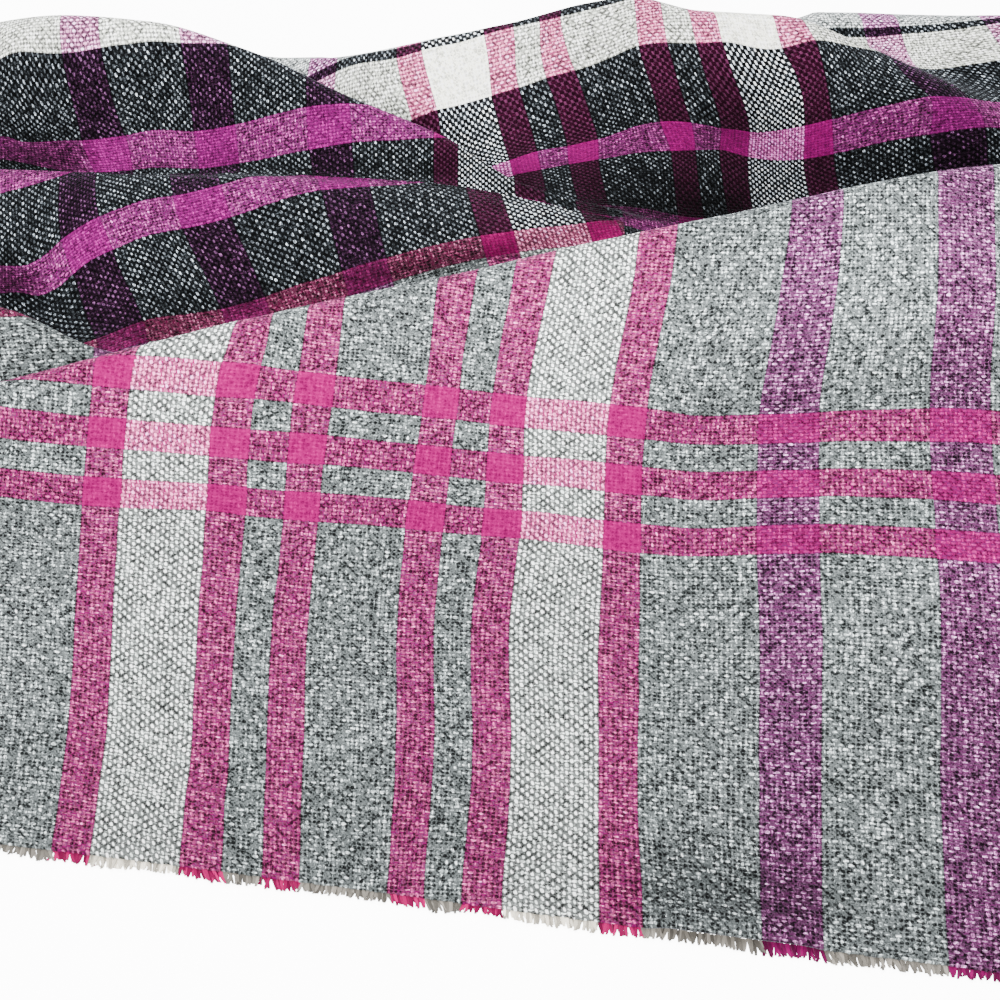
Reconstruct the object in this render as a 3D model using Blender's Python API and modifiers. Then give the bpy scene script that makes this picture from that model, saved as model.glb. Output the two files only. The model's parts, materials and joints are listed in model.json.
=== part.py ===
"""Blanket scarf of brushed plain-weave cloth, dropped in loose folds on a flat surface.

The scarf is cut 0.80 m wide and 2.00 m long. Its front end is a flap that lies forward from a high
diagonal fold. Behind that fold the same cloth lies in three diagonal waves and a back stretch, and
the rest of the length is folded away underneath. X runs across the cloth, Y from the cut front end
to the back, Z up. All tables are in millimetres.
"""

import math

import bmesh
import bpy
from mathutils import Vector

MM = 0.001

# The cloth
WALL = 2.0
SEAM_GAP = 0.6
LAYER_GAP = 0.6
ORIGIN_X = 27.4
ORIGIN_Y = 183.1

# The fold along the back of the flap, and how far its rear stays off what lies below
FOLD_RADIUS = 9.0
FOLD_END_DEGREES = -86.0
REAR_CLEARANCE = 1.5
FLOOR_CLEARANCE = 0.6

# The flap, a row for each section across the cloth: the distance from the cloth's centre line,
# the place of the cut end, the place and height of the fold's top, and the power by which the
# cloth climbs to it
FLAP_SECTIONS = (
    # across, end_x, end_y, fold_x, fold_y, fold_z, power
    (-400, -463, -355, -478, -268, 26, 2.0),
    (-300, -363, -370, -392, -246, 34, 2.0),
    (-144, -204, -394, -212, -201, 46, 2.1),
    (-61, -120, -406, -115, -174, 56, 2.2),
    (18, -39, -418, -27, -157, 66, 2.2),
    (108, 52, -432, 76, -133, 75, 1.9),
    (212, 158, -447, 195, -99, 78, 1.5),
    (320, 268, -464, 310, -74, 66, 1.5),
    (400, 348, -476, 398, -56, 40, 1.6),
)

# The waves, a guide line for each foot, crest and valley, from the front to the back.
# Each line is a few points from left to right: x, y, height of the cloth's top
WAVE_LINES = {
    "front_foot": (
        (-285, -207, 28), (-215, -192, 27), (-115, -163, 14), (-27, -146, 10), (76, -122, 8),
        (195, -88, 8), (425, -36, 8),
    ),
    "tuck_crest": (
        (-285, -148, 52), (-219, -152, 46), (-178, -161, 30), (-150, -158, 17), (-100, -142, 13),
        (0, -128, 10), (100, -106, 8), (250, -69, 8), (425, -29, 8),
    ),
    "tuck_valley": (
        (-285, -128, 30), (-219, -136, 22), (-178, -147, 16), (-100, -130, 12), (0, -114, 10),
        (100, -97, 8), (250, -61, 8), (425, -22, 8),
    ),
    "wave_one_foot": (
        (-285, -118, 28), (-219, -128, 20), (-182, -136, 16), (-128, -117, 15), (-75, -94, 16),
        (-10, -74, 15), (40, -76, 11), (100, -87, 8), (250, -53, 8), (425, -15, 8),
    ),
    "wave_one_crest": (
        (-285, -58, 50), (-206, -61, 49), (-155, -59, 44), (-105, -50, 36), (-48, -44, 23),
        (48, -54, 13), (100, -76, 9), (250, -45, 8), (425, -8, 8),
    ),
    "valley_one": (
        (-285, -44, 36), (-191, -53, 41), (-141, -48, 38), (-91, -38, 29), (-33, -34, 20),
        (48, -47, 12), (100, -67, 8), (250, -37, 8), (425, -1, 8),
    ),
    "wave_two_crest": (
        (-285, -8, 80), (-208, 3, 90), (-166, 1, 88), (-116, 4, 68), (-73, 0, 46),
        (-29, -11, 32), (10, -31, 18), (48, -40, 12), (100, -58, 8), (250, -29, 8), (425, 6, 8),
    ),
    "valley_two": (
        (-285, 52, 26), (-190, 46, 28), (-93, 26, 12), (-45, 8, 8), (10, -23, 7), (48, -33, 7),
        (100, -48, 7), (250, -20, 8), (425, 14, 8),
    ),
    "wave_three_shelf": (
        (-285, 66, 24), (-130, 48, 21), (-45, 18, 11), (5, -9, 10), (50, -1, 16), (82, 3, 22),
        (137, -2, 20), (213, 8, 26), (250, 2, 22), (320, 4, 15), (425, 28, 11),
    ),
    "wave_three_slope": (
        (-285, 76, 23), (-190, 67, 22), (-93, 48, 16), (-44, 28, 19), (-4, 31, 26), (39, 33, 37),
        (110, 37, 50), (158, 37, 51), (213, 20, 34), (250, 11, 27), (320, 16, 19), (425, 40, 13),
    ),
    "wave_three_crest": (
        (-285, 86, 21), (-190, 78, 21), (-115, 71, 18), (0, 63, 44), (68, 61, 62), (100, 50, 60),
        (140, 50, 59), (188, 39, 46), (213, 30, 38), (250, 20, 28), (320, 28, 21), (425, 52, 14),
    ),
    "valley_three": (
        (-285, 94, 14), (-190, 87, 14), (-115, 77, 13), (0, 76, 29), (68, 78, 42), (140, 66, 45),
        (188, 52, 38), (250, 34, 26), (320, 42, 21), (425, 64, 14),
    ),
    "back_rise": (
        (-285, 102, 8), (-190, 95, 8), (-115, 84, 8), (0, 91, 14), (68, 98, 22), (120, 86, 33),
        (180, 66, 45), (255, 66, 46), (330, 72, 38), (425, 84, 20),
    ),
    "back_foot": (
        (-285, 110, 3), (-190, 103, 3), (-115, 91, 3), (0, 106, 3), (68, 118, 3), (255, 108, 3),
        (425, 112, 3),
    ),
}
LINE_NAMES = tuple(WAVE_LINES)
ROWS_PER_LINE = 2

# The waves sink towards the two selvedges, from the shoulders out. At a selvedge they keep a share
# of their height above the flat layers that they lie on
LEFT_EDGE, LEFT_SHOULDER = -285.0, -238.0
RIGHT_EDGE, RIGHT_SHOULDER = 425.0, 262.0
EDGE_SHARE = 0.32
FLAT_LAYERS = 7.0

# Where the left-hand waves end behind the fold
WAVE_SEAM_X = 58.0

# Grid counts
FLAP_COLUMNS = 32
FLAP_RISE_ROWS = 9
FLAP_FOLD_ROWS = 5
FLAP_REAR_ROWS = 2
FLAP_ROWS = FLAP_RISE_ROWS + FLAP_FOLD_ROWS + FLAP_REAR_ROWS
WAVE_COLUMNS = 35
WAVE_ROWS = (len(LINE_NAMES) - 1) * ROWS_PER_LINE

# The layers folded away underneath
FLAP_HOLLOW_ROW = 3
LAYER_COUNT = 3
LAYER_GROOVE = 2.5
UNDER_FOLD = 40.0
LEAST_LEAN = 0.5

# The yarn ends along the cut front end
LOCK_COUNT = 110
LOCK_LENGTH = 5.0
LOCK_TAPER = 0.45
LOCK_SWAY = 0.5
LOCK_SAG = 0.2
LOCK_UNEVEN = 0.14
STRIP_WIDTH = 2.0
STRIP_TOP = 1.7
STRIP_BASE = 0.3
STRIP_GAP = 0.3

COLOURS = {
    "front_flap": (0.34, 0.38, 0.37),
    "first_wave": (0.10, 0.09, 0.13),
    "second_wave": (0.13, 0.11, 0.16),
    "third_wave": (0.16, 0.12, 0.17),
    "back_stretch": (0.55, 0.55, 0.52),
    "hidden_layers": (0.30, 0.32, 0.32),
    "hidden_back": (0.30, 0.32, 0.32),
    "yarn_fringe": (0.48, 0.40, 0.42),
}
CLOTH_ROUGHNESS = 0.95


def clear_scene():
    """Removes whatever the file starts with."""
    for item in list(bpy.data.objects):
        bpy.data.objects.remove(item, do_unlink=True)


def cloth_material(name):
    """A plain woollen finish in the piece's main colour."""
    material = bpy.data.materials.new(name + "_cloth")
    material.use_nodes = True
    shader = material.node_tree.nodes["Principled BSDF"]
    shader.inputs["Base Color"].default_value = (*COLOURS[name], 1.0)
    shader.inputs["Roughness"].default_value = CLOTH_ROUGHNESS
    shader.inputs["Metallic"].default_value = 0.0
    return material


def slopes(xs, ys):
    """Slopes of a smooth curve through the points that doesn't overshoot them."""
    steps = [(y1 - y0) / (x1 - x0) for x0, x1, y0, y1 in zip(xs, xs[1:], ys, ys[1:])]
    result = [steps[0]]
    for before, after in zip(steps, steps[1:]):
        result.append(0.0 if before * after <= 0 else 2 * before * after / (before + after))
    return result + [steps[-1]]


def curve_at(xs, ys, x):
    """Height of that curve at x, held level past its ends."""
    x = min(max(x, xs[0]), xs[-1])
    k = min(next((i for i, right in enumerate(xs[1:]) if x <= right), len(xs) - 2), len(xs) - 2)
    tangents = slopes(xs, ys)
    width = xs[k + 1] - xs[k]
    t = (x - xs[k]) / width
    rise = ys[k + 1] - ys[k]
    lead, trail = tangents[k] * width, tangents[k + 1] * width
    return ys[k] + t * (lead + t * (3 * rise - 2 * lead - trail + t * (lead + trail - 2 * rise)))


def table_at(rows, key):
    """Every later column of a table, read smoothly at a value of its first column."""
    columns = list(zip(*rows))
    return [curve_at(columns[0], column, key) for column in columns[1:]]


def mix(a, b, t):
    return a + (b - a) * t


def ease(t):
    t = min(max(t, 0.0), 1.0)
    return t * t * (3 - 2 * t)


def edge_share(x):
    """Share of the full wave height at x, less near the selvedges."""
    left = ease((x - LEFT_EDGE) / (LEFT_SHOULDER - LEFT_EDGE))
    right = ease((RIGHT_EDGE - x) / (RIGHT_EDGE - RIGHT_SHOULDER))
    return mix(EDGE_SHARE, 1.0, min(left, right))


def wave_section(x):
    """The guide lines' places and heights in the section at x."""
    places = [table_at(WAVE_LINES[name], x) for name in LINE_NAMES]
    share = edge_share(x)
    heights = [mix(min(z, FLAT_LAYERS), z, share) for y, z in places]
    return [y for y, z in places], heights


def wave_point(x, line, share):
    """Top of the waves at x, a share of the way from one guide line to the next."""
    ys, zs = wave_section(x)
    last = len(ys) - 1
    y = mix(ys[line], ys[min(line + 1, last)], share)
    return Vector((x, y, curve_at(ys, zs, y)))


def foot_height(x):
    """How low the fold's rear comes: to the waves' front edge, or to the floor beside them."""
    if x < LEFT_EDGE:
        return FLOOR_CLEARANCE
    return wave_point(x, 0, 0.0).z - WALL + REAR_CLEARANCE


def flap_point(across, row):
    """Top of the flap on the section at that distance from the centre line."""
    end_x, end_y, fold_x, fold_y, fold_z, power = table_at(FLAP_SECTIONS, across)
    length = fold_y - end_y
    start = math.atan(power * (fold_z - WALL) / length)
    end = math.radians(FOLD_END_DEGREES)
    rise_length = length - FOLD_RADIUS * math.sin(start)
    rise = fold_z - FOLD_RADIUS * (1 - math.cos(start)) - WALL
    turn = (row - FLAP_RISE_ROWS) / FLAP_FOLD_ROWS
    down = (row - FLAP_RISE_ROWS - FLAP_FOLD_ROWS) / FLAP_REAR_ROWS
    if turn <= 0:
        t = row / FLAP_RISE_ROWS
        forward = rise_length * t
        height = WALL + rise * t ** power
    else:
        angle = mix(start, end, min(turn, 1.0))
        forward = length - FOLD_RADIUS * math.sin(angle)
        height = fold_z - FOLD_RADIUS * (1 - math.cos(angle))
    if down > 0:
        height = mix(height, foot_height(fold_x), down)
    return Vector((mix(end_x, fold_x, forward / length), end_y + forward, height))


def drop_below(frame, depth):
    """Moves a surface down so that it lies that far below every face it had."""
    drops = {}
    for v in frame.verts:
        lean = min(v.normal.dot(face.normal) for face in v.link_faces)
        drops[v] = v.normal * depth / max(lean, LEAST_LEAN)
    for v, drop in drops.items():
        v.co -= drop


def cloth_grid(columns, rows, point_at, keep=None, depth=0.0):
    """A grid laid on a surface, or that depth below it, with only the cells that keep names."""
    frame = bmesh.new()
    bmesh.ops.create_grid(frame, x_segments=columns, y_segments=rows, size=0.5)
    spare = []
    for face in frame.faces:
        middle = face.calc_center_median()
        cell = int((middle.x + 0.5) * columns), int((middle.y + 0.5) * rows)
        if keep and not keep(*cell):
            spare.append(face)
    for v in frame.verts:
        v.co = point_at(round((v.co.x + 0.5) * columns), round((v.co.y + 0.5) * rows))
    frame.normal_update()
    drop_below(frame, depth)
    bmesh.ops.delete(frame, geom=spare, context="FACES")
    return frame


def draw_in(frame):
    """Moves the outline of a stretch in by half the gap to its neighbour."""
    moves = {}
    for v in frame.verts:
        if v.is_boundary:
            middle = sum((face.calc_center_median() for face in v.link_faces), Vector())
            moves[v] = (middle / len(v.link_faces) - v.co).normalized() * SEAM_GAP / 2
    for v, move in moves.items():
        v.co += move


def finish(frame, name, collection="tartan_blanket_scarf"):
    """Places a bmesh drawn in millimetres round the scarf's centre as a named object."""
    for v in frame.verts:
        v.co = Vector((v.co.x + ORIGIN_X, v.co.y + ORIGIN_Y, v.co.z)) * MM
    mesh = bpy.data.meshes.new(name)
    frame.to_mesh(mesh)
    frame.free()
    mesh.materials.append(cloth_material(name))
    mesh.shade_smooth()
    item = bpy.data.objects.new(name, mesh)
    bpy.data.collections[collection].objects.link(item)
    return item


def add_wall(item):
    """Gives an open sheet its cloth thickness, downwards from its top."""
    solid = item.modifiers.new("Cloth wall", "SOLIDIFY")
    solid.thickness = WALL * MM
    solid.offset = -1.0


def flap_grid_point(column, row):
    """The flap's point at a column from its left edge and a row from its cut end."""
    first, last = FLAP_SECTIONS[0][0], FLAP_SECTIONS[-1][0]
    return flap_point(mix(first, last, column / FLAP_COLUMNS), row)


def wave_grid_point(column, row):
    """The waves' point at a column from their left edge and a row from the front foot."""
    line, step = divmod(row, ROWS_PER_LINE)
    return wave_point(mix(LEFT_EDGE, RIGHT_EDGE, column / WAVE_COLUMNS), line, step / ROWS_PER_LINE)


def build_flap():
    """The end of the cloth, from the cut edge over the fold and down its rear side."""
    add_wall(finish(cloth_grid(FLAP_COLUMNS, FLAP_ROWS, flap_grid_point), "front_flap"))


def build_waves():
    """The four stretches behind the fold, parted along their valleys."""
    seam_column = round((WAVE_SEAM_X - LEFT_EDGE) / (RIGHT_EDGE - LEFT_EDGE) * WAVE_COLUMNS)
    one, two, three = (LINE_NAMES.index(name) * ROWS_PER_LINE
                       for name in ("valley_one", "valley_two", "valley_three"))
    stretches = {
        "first_wave": lambda column, row: row < one and column < seam_column,
        "second_wave": lambda column, row: one <= row < two and column < seam_column,
        "third_wave": lambda column, row: row < three and (row >= two or column >= seam_column),
        "back_stretch": lambda column, row: row >= three,
    }
    for name, keep in stretches.items():
        frame = cloth_grid(WAVE_COLUMNS, WAVE_ROWS, wave_grid_point, keep)
        draw_in(frame)
        add_wall(finish(frame, name))


def rim_direction(v, rim, centre):
    """Level direction out of a block at a point of its rim."""
    ends = [edge.other_vert(v).co for edge in v.link_edges if edge in rim]
    along = ends[1] - ends[0]
    outward = Vector((along.y, -along.x, 0)).normalized()
    away = Vector((v.co.x - centre.x, v.co.y - centre.y, 0))
    return outward if outward.dot(away) >= 0 else -outward


def stand_on_floor(frame):
    """Closes a sheet into a block with a flat base, its sides grooved like folded layers."""
    centre = sum((v.co for v in frame.verts), Vector()) / len(frame.verts)
    rim = {edge for edge in frame.edges if edge.is_boundary}
    tops = {v: (v.co.copy(), rim_direction(v, rim, centre)) for edge in rim for v in edge.verts}
    steps = 2 * LAYER_COUNT
    for step in range(1, steps + 1):
        made = bmesh.ops.extrude_edge_only(frame, edges=list(rim))["geom"]
        lower = {}
        for v in (item for item in made if isinstance(item, bmesh.types.BMVert)):
            above = next(edge.other_vert(v) for edge in v.link_edges if edge.other_vert(v) in tops)
            top, outward = lower[v] = tops[above]
            flat = top - outward * (0.0 if step % 2 else LAYER_GROOVE)
            v.co = Vector((flat.x, flat.y, top.z * (1 - step / steps)))
        tops = lower
        rim = {item for item in made if isinstance(item, bmesh.types.BMEdge) and item.is_boundary}
    bmesh.ops.contextual_create(frame, geom=list(rim))
    bmesh.ops.recalc_face_normals(frame, faces=frame.faces)


def under_flap():
    """The block inside the flap's fold."""

    def keep(column, row):
        return 0 < column < FLAP_COLUMNS - 1 and FLAP_HOLLOW_ROW <= row < FLAP_RISE_ROWS

    frame = cloth_grid(FLAP_COLUMNS, FLAP_ROWS, flap_grid_point, keep, WALL + LAYER_GAP)
    stand_on_floor(frame)
    return frame


def under_waves():
    """The block below the waves, which reaches forward under the fold."""

    def point_at(column, row):
        start = wave_grid_point(column, max(row - 1, 0))
        return start if row else start - Vector((0, UNDER_FOLD, 0))

    def keep(column, row):
        return 0 < column < WAVE_COLUMNS - 1 and row < WAVE_ROWS

    frame = cloth_grid(WAVE_COLUMNS, WAVE_ROWS + 1, point_at, keep, WALL + LAYER_GAP)
    stand_on_floor(frame)
    return frame


def build_hidden_layers():
    """The folded-away length, one solid from the block in the flap and the one below the waves."""
    item = finish(under_flap(), "hidden_layers")
    partner = finish(under_waves(), "hidden_back", "guides")
    partner.hide_render = True
    partner.display_type = "WIRE"
    join = item.modifiers.new("Join the folded layers", "BOOLEAN")
    join.operation = "UNION"
    join.object = partner


def build_fringe():
    """Short yarn ends along the cut end, rooted in a narrow strip just outside the cloth."""
    cells = 2 * LOCK_COUNT
    first, last = FLAP_SECTIONS[0][0], FLAP_SECTIONS[-1][0]
    frame = bmesh.new()
    corners = []
    for i in range(cells + 1):
        edge = flap_point(mix(first, last, i / cells), 0)
        front, rear = edge.y - STRIP_GAP - STRIP_WIDTH, edge.y - STRIP_GAP
        corners.append([
            frame.verts.new(Vector((edge.x, y, z)))
            for y, z in ((rear, STRIP_TOP), (front, STRIP_TOP),
                         (front, STRIP_BASE), (rear, STRIP_BASE))
        ])
    roots = []
    for i, (here, there) in enumerate(zip(corners, corners[1:])):
        for k in range(4):
            face = frame.faces.new((here[k], here[(k + 1) % 4], there[(k + 1) % 4], there[k]))
            if k == 1 and i % 2:
                roots.append(face)
    frame.faces.new(corners[0][::-1])
    frame.faces.new(corners[-1])
    tips = bmesh.ops.extrude_discrete_faces(frame, faces=roots)["faces"]
    for k, tip in enumerate(tips):
        middle = tip.calc_center_median()
        sway = math.sin(2.4 * k) + math.sin(5.1 * k + 1.0)
        reach = LOCK_LENGTH * (1 + LOCK_UNEVEN * math.sin(3.7 * k))
        for v in tip.verts:
            v.co = middle + (v.co - middle) * LOCK_TAPER
            v.co += Vector((LOCK_SWAY * sway, -reach, -LOCK_SAG))
    bmesh.ops.recalc_face_normals(frame, faces=frame.faces)
    finish(frame, "yarn_fringe")


def main():
    clear_scene()
    for name in ("tartan_blanket_scarf", "guides"):
        group = bpy.data.collections.new(name)
        bpy.context.scene.collection.children.link(group)
    build_flap()
    build_waves()
    build_hidden_layers()
    build_fringe()


main()
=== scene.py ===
"""Tartan blanket scarf: brushed plain-weave cloth dropped in loose folds, as a Blender add-on.

Sizes are in millimetres round the scarf's own centre line unless a name says otherwise. Along the
cloth, places are counted in yarns: u across the cloth from its middle, v from its cut front end.
"""

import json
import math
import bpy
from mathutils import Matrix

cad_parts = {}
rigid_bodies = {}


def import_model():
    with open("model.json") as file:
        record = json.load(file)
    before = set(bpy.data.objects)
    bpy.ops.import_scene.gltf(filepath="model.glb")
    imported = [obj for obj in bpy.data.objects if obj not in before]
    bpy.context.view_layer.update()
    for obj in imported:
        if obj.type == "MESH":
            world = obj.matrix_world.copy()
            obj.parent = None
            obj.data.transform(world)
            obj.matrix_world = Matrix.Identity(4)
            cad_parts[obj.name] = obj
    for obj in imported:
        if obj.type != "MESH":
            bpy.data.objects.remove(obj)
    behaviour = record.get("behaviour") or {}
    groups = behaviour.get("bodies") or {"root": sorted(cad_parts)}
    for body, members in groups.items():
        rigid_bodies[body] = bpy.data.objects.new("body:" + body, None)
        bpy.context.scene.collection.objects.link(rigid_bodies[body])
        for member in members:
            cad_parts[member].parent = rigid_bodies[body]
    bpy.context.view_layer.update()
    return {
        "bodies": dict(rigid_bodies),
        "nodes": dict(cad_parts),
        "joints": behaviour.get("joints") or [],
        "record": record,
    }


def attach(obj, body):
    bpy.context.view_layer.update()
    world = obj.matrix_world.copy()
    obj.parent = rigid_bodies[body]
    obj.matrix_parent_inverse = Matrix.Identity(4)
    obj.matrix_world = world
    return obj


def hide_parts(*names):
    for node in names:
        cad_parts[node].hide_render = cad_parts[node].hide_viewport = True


bl_info = {
    "name": "Tartan blanket scarf",
    "version": (1, 0, 0),
    "blender": (4, 5, 0),
    "location": "3D View > Sidebar > Scarf",
    "description": "Builds a folded tartan blanket scarf round its packed solids",
    "category": "Add Mesh",
}

import bmesh
import bpy
import numpy as np
from bpy.props import FloatProperty, FloatVectorProperty, IntProperty, PointerProperty
from bpy.types import Operator, Panel, PropertyGroup
from mathutils import Euler, Vector

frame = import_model()

MM = 0.001
BODY = "root"

# The place of the tables' origin in the part's frame
ORIGIN_X = 27.4
ORIGIN_Y = 183.1

# The cloth as it was cut. Only these three sizes are in metres
HALF_CUT = 400
HALF_WIDTH_YARNS = 222
YARN_ALONG = 1.67

# How high the cloth's top lies where it is flat
CLOTH_TOP = 2.0

# The fold along the back of the flap, and the rows of cells up to it, round it and down its rear
FOLD_RADIUS = 9.0
FOLD_END_DEGREES = -86.0
REAR_CLEARANCE = 1.5
FLOOR_CLEARANCE = 0.6
FLAP_ROWS = (120, 10, 16)

# The flap, a row for each section across the cloth: the distance from the cloth's centre line,
# the place of the cut end, the place and height of the fold's top, and the power by which the
# cloth climbs to it
FLAP_SECTIONS = (
    # across, end_x, end_y, fold_x, fold_y, fold_z, power
    (-400, -463, -355, -478, -268, 26, 2.0),
    (-300, -363, -370, -392, -246, 34, 2.0),
    (-144, -204, -394, -212, -201, 46, 2.1),
    (-61, -120, -406, -115, -174, 56, 2.2),
    (18, -39, -418, -27, -157, 66, 2.2),
    (108, 52, -432, 76, -133, 75, 1.9),
    (212, 158, -447, 195, -99, 78, 1.5),
    (320, 268, -464, 310, -74, 66, 1.5),
    (400, 348, -476, 398, -56, 40, 1.6),
)

# The waves, a guide line for each foot, crest and valley, from the front to the back.
# Each line is a few points from left to right: x, y, height of the cloth's top
WAVE_LINES = {
    "front_foot": (
        (-285, -207, 28), (-215, -192, 27), (-115, -163, 14), (-27, -146, 10), (76, -122, 8),
        (195, -88, 8), (425, -36, 8),
    ),
    "tuck_crest": (
        (-285, -148, 52), (-219, -152, 46), (-178, -161, 30), (-150, -158, 17), (-100, -142, 13),
        (0, -128, 10), (100, -106, 8), (250, -69, 8), (425, -29, 8),
    ),
    "tuck_valley": (
        (-285, -128, 30), (-219, -136, 22), (-178, -147, 16), (-100, -130, 12), (0, -114, 10),
        (100, -97, 8), (250, -61, 8), (425, -22, 8),
    ),
    "wave_one_foot": (
        (-285, -118, 28), (-219, -128, 20), (-182, -136, 16), (-128, -117, 15), (-75, -94, 16),
        (-10, -74, 15), (40, -76, 11), (100, -87, 8), (250, -53, 8), (425, -15, 8),
    ),
    "wave_one_crest": (
        (-285, -58, 50), (-206, -61, 49), (-155, -59, 44), (-105, -50, 36), (-48, -44, 23),
        (48, -54, 13), (100, -76, 9), (250, -45, 8), (425, -8, 8),
    ),
    "valley_one": (
        (-285, -44, 36), (-191, -53, 41), (-141, -48, 38), (-91, -38, 29), (-33, -34, 20),
        (48, -47, 12), (100, -67, 8), (250, -37, 8), (425, -1, 8),
    ),
    "wave_two_crest": (
        (-285, -8, 80), (-208, 3, 90), (-166, 1, 88), (-116, 4, 68), (-73, 0, 46),
        (-29, -11, 32), (10, -31, 18), (48, -40, 12), (100, -58, 8), (250, -29, 8), (425, 6, 8),
    ),
    "valley_two": (
        (-285, 52, 26), (-190, 46, 28), (-93, 26, 12), (-45, 8, 8), (10, -23, 7), (48, -33, 7),
        (100, -48, 7), (250, -20, 8), (425, 14, 8),
    ),
    "wave_three_shelf": (
        (-285, 66, 24), (-130, 48, 21), (-45, 18, 11), (5, -9, 10), (50, -1, 16), (82, 3, 22),
        (137, -2, 20), (213, 8, 26), (250, 2, 22), (320, 4, 15), (425, 28, 11),
    ),
    "wave_three_slope": (
        (-285, 76, 23), (-190, 67, 22), (-93, 48, 16), (-44, 28, 19), (-4, 31, 26), (39, 33, 37),
        (110, 37, 50), (158, 37, 51), (213, 20, 34), (250, 11, 27), (320, 16, 19), (425, 40, 13),
    ),
    "wave_three_crest": (
        (-285, 86, 21), (-190, 78, 21), (-115, 71, 18), (0, 63, 44), (68, 61, 62), (100, 50, 60),
        (140, 50, 59), (188, 39, 46), (213, 30, 38), (250, 20, 28), (320, 28, 21), (425, 52, 14),
    ),
    "valley_three": (
        (-285, 94, 14), (-190, 87, 14), (-115, 77, 13), (0, 76, 29), (68, 78, 42), (140, 66, 45),
        (188, 52, 38), (250, 34, 26), (320, 42, 21), (425, 64, 14),
    ),
    "back_rise": (
        (-285, 102, 8), (-190, 95, 8), (-115, 84, 8), (0, 91, 14), (68, 98, 22), (120, 86, 33),
        (180, 66, 45), (255, 66, 46), (330, 72, 38), (425, 84, 20),
    ),
    "back_foot": (
        (-285, 110, 3), (-190, 103, 3), (-115, 91, 3), (0, 106, 3), (68, 118, 3), (255, 108, 3),
        (425, 112, 3),
    ),
}
# The waves start below the fold, a little before their foot
LINE_NAMES = ("under_fold", *WAVE_LINES)
WAVE_LINES["under_fold"] = [(x, y - 12, z - 1) for x, y, z in WAVE_LINES["front_foot"]]

# The waves sink towards the two selvedges, from the shoulders out
LEFT_EDGE, LEFT_SHOULDER = -285.0, -238.0
RIGHT_EDGE, RIGHT_SHOULDER = 425.0, 262.0
EDGE_SHARE = 0.32
FLAT_LAYERS = 7.0
WAVE_SEAM_X = 58.0

# Soft creases: both ends, how wide, and how high the ridge or how deep the trough
FLAP_CREASES = (
    # start_x, start_y, end_x, end_y, width, height
    (80, -212, 208, -187, 14, -2.6), (127, -318, 205, -285, 21, 3.0),
    (62, -431, 108, -433, 9, 3.5), (60, -395, 104, -402, 12, -2.0),
    (-195, -292, -122, -262, 18, 2.2), (-62, -330, -22, -392, 16, 2.0),
    (-92, -232, 8, -243, 12, -2.0), (-150, -350, -96, -366, 13, -1.6),
    (20, -330, 78, -346, 15, 1.8), (-388, -322, -300, -300, 20, 3.0),
    (-330, -286, -244, -262, 15, -2.2), (-300, -352, -236, -366, 12, 2.4),
    (255, -432, 322, -384, 18, 3.4), (300, -196, 372, -150, 20, -3.0),
    (236, -306, 330, -252, 24, 3.2),
)
WAVE_CREASES = (
    # start_x, start_y, end_x, end_y, width, height
    (296, 18, 388, 52, 13, 4.0), (330, 60, 402, 76, 10, -2.6), (-272, 18, -256, 84, 12, 3.0),
    (-262, -96, -246, -40, 9, -2.4), (14, 92, 46, 112, 9, 2.6), (96, 88, 128, 104, 11, -2.4),
    (166, 78, 214, 92, 12, 3.0), (-150, 76, -96, 88, 9, 1.8),
)
# Painted light and shade: soft strokes make the cloth's colour paler where light falls and darker
# where shade falls. Both ends of a stroke, its width and the change
FLAP_PAINTED_SHADING = (
    # start_x, start_y, end_x, end_y, width, change
    (62, -414, 106, -420, 20, -0.42), (-200, -398, 200, -452, 34, -0.12),
    (130, -312, 205, -288, 24, 0.3), (140, -152, 220, -140, 30, 0.35),
    (80, -212, 208, -187, 20, -0.16), (-180, -300, -120, -290, 22, 0.1),
    (-60, -380, 0, -390, 20, -0.1), (20, -180, 70, -165, 20, 0.15),
)
WAVE_PAINTED_SHADING = (
    # start_x, start_y, end_x, end_y, width, change
    (10, -22, 240, -14, 24, -0.55), (-160, -128, 40, -62, 9, -0.4),
    (-250, -42, -206, -46, 14, -0.84), (-244, -110, -220, -112, 11, -0.85),
    (-172, -50, -110, -39, 7, -0.45), (-95, -36, -25, -26, 8, -0.45),
    (-195, -128, -150, -140, 10, -0.3), (54, -42, 114, -41, 14, -0.75),
    (-190, 4, -100, 6, 12, 0.2), (60, 12, 120, 14, 16, -0.3),
    (110, 4, 240, 14, 12, -0.22), (-60, -96, 20, -74, 7, -0.25),
)
# The least of the cloth's brightness that the painted shade leaves
DARKEST_PAINTED_SHADE = 0.12

# The surface's unevenness: the period and the reach of each noise
SURFACE_WANDER = ((44, 0.7), (17, 0.3))
SURFACE_SEED = 6

# How the yarns wander from their straight course: the period and the reach, both in yarns
YARN_WANDER = ((34, 0.9), (9, 0.15))
ACROSS_SEED = 3
ALONG_SEED = 4
NOISE_GRID = 64

# The yarn counts' fit: its unit, how far it may miss a mark, and the steepest slope it follows
PLATE_UNIT = 100
PLATE_EASE = 0.002
STEEPEST = 3.0
TINY = 1e-9

# The layers folded away underneath, a stack below the flap and one below the waves
LAYER_COUNT = 6
RINGS_PER_LAYER = 4
LAYER_GROOVE = 1.6
LAYER_DROP = 3.4
LAYER_INSET = 24.0
LAYER_STEP = 5
LAYER_YARNS = 31
# The folded layers' painted shade, as they lie under the cloth
LAYER_PAINTED_SHADE = 0.8
LEAST_TOP = 0.35
# How far a layer's edge strays, over what length, and how far on the next layer is read
LAYER_STRAY = 3.0
STRAY_PERIOD = 70
STRAY_SHIFT = 40
# The coarser surfaces that the stacks hang from, and which of their rows
FLAP_STACK = (100, 24, 6, 2)
FLAP_STACK_ROWS = slice(8, 25)
WAVE_STACK = (120, 3)
WAVE_STACK_ROWS = slice(3, -2)
FLAP_STACK_SEED, WAVE_STACK_SEED = 20, 40

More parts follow.
